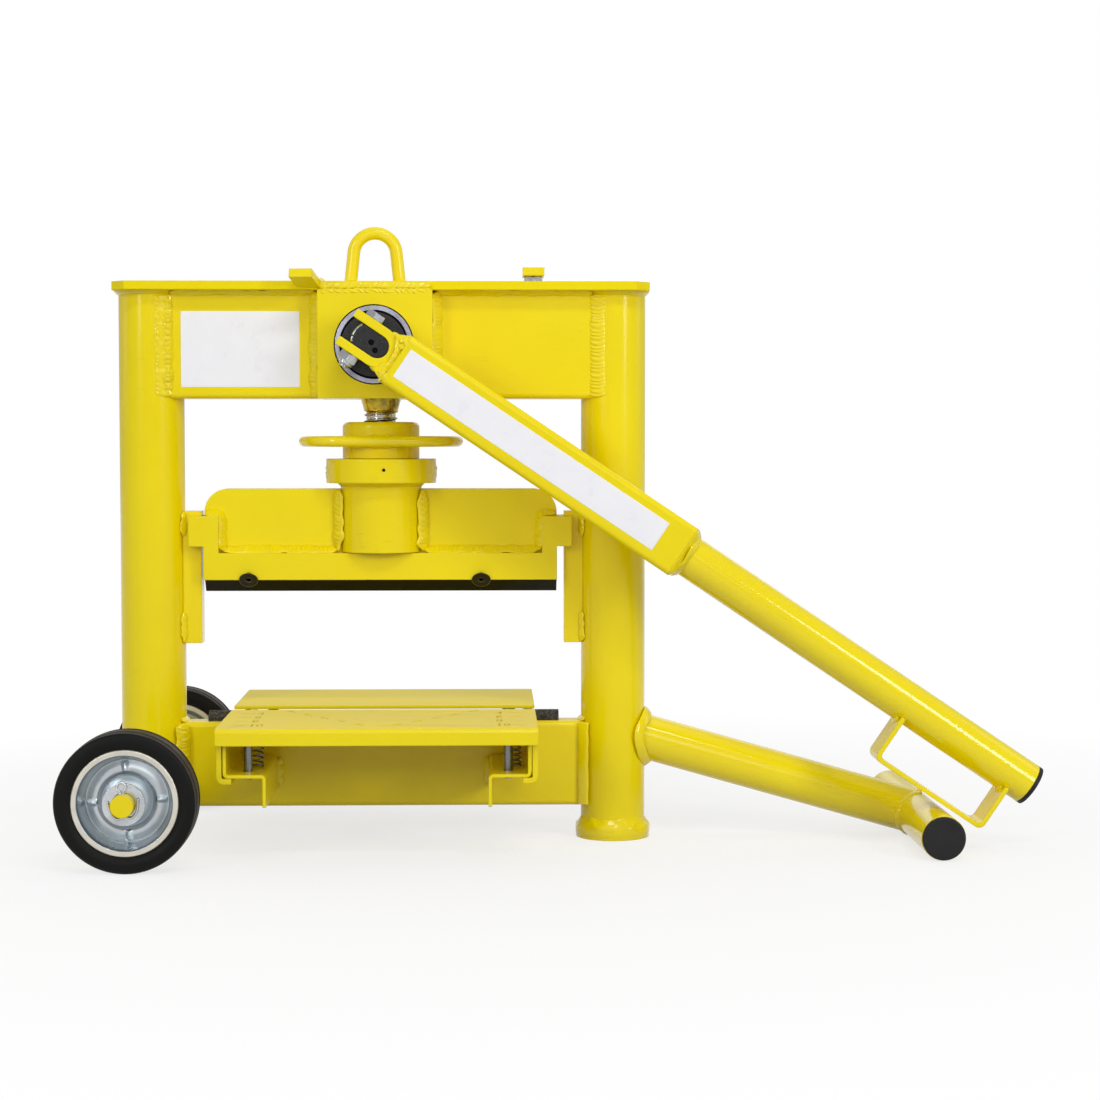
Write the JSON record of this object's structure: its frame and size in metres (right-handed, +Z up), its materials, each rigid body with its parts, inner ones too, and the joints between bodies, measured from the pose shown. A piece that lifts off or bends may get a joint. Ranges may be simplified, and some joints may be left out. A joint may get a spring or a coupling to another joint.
{
  "type": "masonry block splitter",
  "caption": "Lever-operated masonry block splitter: portal frame, eccentric press with a height-set upper blade, sprung tables, transport wheels and a stand.",
  "frame": {"origin": "on the ground under the middle of the bounding box", "axes": "+X from the wheels towards the stand, +Y away from the lever's side, +Z up"},
  "size_m": [0.887, 0.4164, 0.575],
  "materials": {
    "yellow_paint": "bright yellow powder coat, glossy",
    "black_steel": "black oxide steel",
    "bare_steel": "machined steel with a film of grease",
    "zinc_plate": "zinc plated",
    "black_plastic": "moulded plastic",
    "tyre_rubber": "solid black rubber"
  },
  "bodies": {
    "frame": {"left_post": "yellow_paint", "right_post": "yellow_paint", "foot_disc": "yellow_paint", "top_plate": "yellow_paint", "upper_beam_left": "yellow_paint", "upper_beam_right": "yellow_paint", "eccentric_housing": "yellow_paint", "shaft_bushes": "bare_steel", "lower_beam": "yellow_paint", "lower_blade": "black_steel", "guide_bar_left": "yellow_paint", "guide_bar_right": "yellow_paint", "stand_leg": "yellow_paint", "stand_crossbar": "yellow_paint", "crossbar_plugs": "black_plastic", "axle": "yellow_paint", "axle_spacers": "yellow_paint", "axle_washers": "zinc_plate", "split_pins": "zinc_plate", "lifting_eye": "yellow_paint", "lever_stop": "yellow_paint", "keeper_tab": "yellow_paint", "keeper_bolt": "zinc_plate", "table_brackets": "yellow_paint", "front_table_springs": "zinc_plate", "back_table_springs": "zinc_plate"},
    "lever": {"eccentric_shaft": "black_steel", "shaft_retainer": "bare_steel", "lever_fork": "yellow_paint", "lever_box": "yellow_paint", "box_end_plate": "yellow_paint", "lever_tube": "yellow_paint", "lever_cap": "black_plastic", "grip_loop": "yellow_paint", "fork_bolt": "zinc_plate", "fork_nut": "zinc_plate"},
    "spindle": {"spindle_yoke": "black_steel", "spindle": "bare_steel"},
    "carriage": {"sleeve": "yellow_paint", "collar": "yellow_paint", "carriage_web": "yellow_paint", "carriage_bar_front": "yellow_paint", "carriage_bar_back": "yellow_paint", "upper_blade": "black_steel", "blade_screws": "black_steel"},
    "handwheel": {"handwheel_nut": "yellow_paint", "handwheel_grip": "yellow_paint", "thrust_ring": "bare_steel"},
    "front_table": {"front_table_plate": "yellow_paint", "front_table_hooks": "yellow_paint", "front_table_rods": "bare_steel"},
    "back_table": {"back_table_plate": "yellow_paint", "back_table_hooks": "yellow_paint", "back_table_rods": "bare_steel"},
    "front_wheel": {"front_tyre": "tyre_rubber", "front_rim": "zinc_plate", "front_hub_bush": "bare_steel"},
    "back_wheel": {"back_tyre": "tyre_rubber", "back_rim": "zinc_plate", "back_hub_bush": "bare_steel"}
  },
  "joints": [
    {"name": "lever_swing", "type": "hinge", "parent": "frame", "child": "lever", "pos_m": [-0.17151, 0, 0.4636], "axis": [0, -1, 0], "range_deg": [0, 144.3]},
    {"name": "spindle_slide", "type": "slide", "parent": "frame", "child": "spindle", "axis": [0, 0, 1], "range_m": [0, 0.016]},
    {"name": "carriage_slide", "type": "slide", "parent": "spindle", "child": "carriage", "axis": [0, 0, 1], "range_m": [-0.0962, 0.0022]},
    {"name": "handwheel_turn", "type": "hinge", "parent": "carriage", "child": "handwheel", "pos_m": [-0.16701, 0, 0.3743], "axis": [0, 0, 1], "range_deg": [-5760, 120]},
    {"name": "front_table_slide", "type": "slide", "parent": "frame", "child": "front_table", "axis": [0, 0, 1], "range_m": [-0.006, 0], "stiffness_N_per_m": 6000, "springref_m": 0.006, "deforming": ["front_table_springs"]},
    {"name": "back_table_slide", "type": "slide", "parent": "frame", "child": "back_table", "axis": [0, 0, 1], "range_m": [-0.006, 0], "stiffness_N_per_m": 6000, "springref_m": 0.006, "deforming": ["back_table_springs"]},
    {"name": "front_wheel_turn", "type": "hinge", "parent": "frame", "child": "front_wheel", "pos_m": [-0.38151, -0.175, 0.062], "axis": [0, 1, 0], "continuous": true},
    {"name": "back_wheel_turn", "type": "hinge", "parent": "frame", "child": "back_wheel", "pos_m": [-0.38151, 0.175, 0.062], "axis": [0, 1, 0], "continuous": true}
  ],
  "couplings": [
    {"joint": "spindle_slide", "follows": "lever_swing", "m_per_rad": 0.00627},
    {"joint": "carriage_slide", "follows": "handwheel_turn", "m_per_rad": 0.00095493}
  ]
}
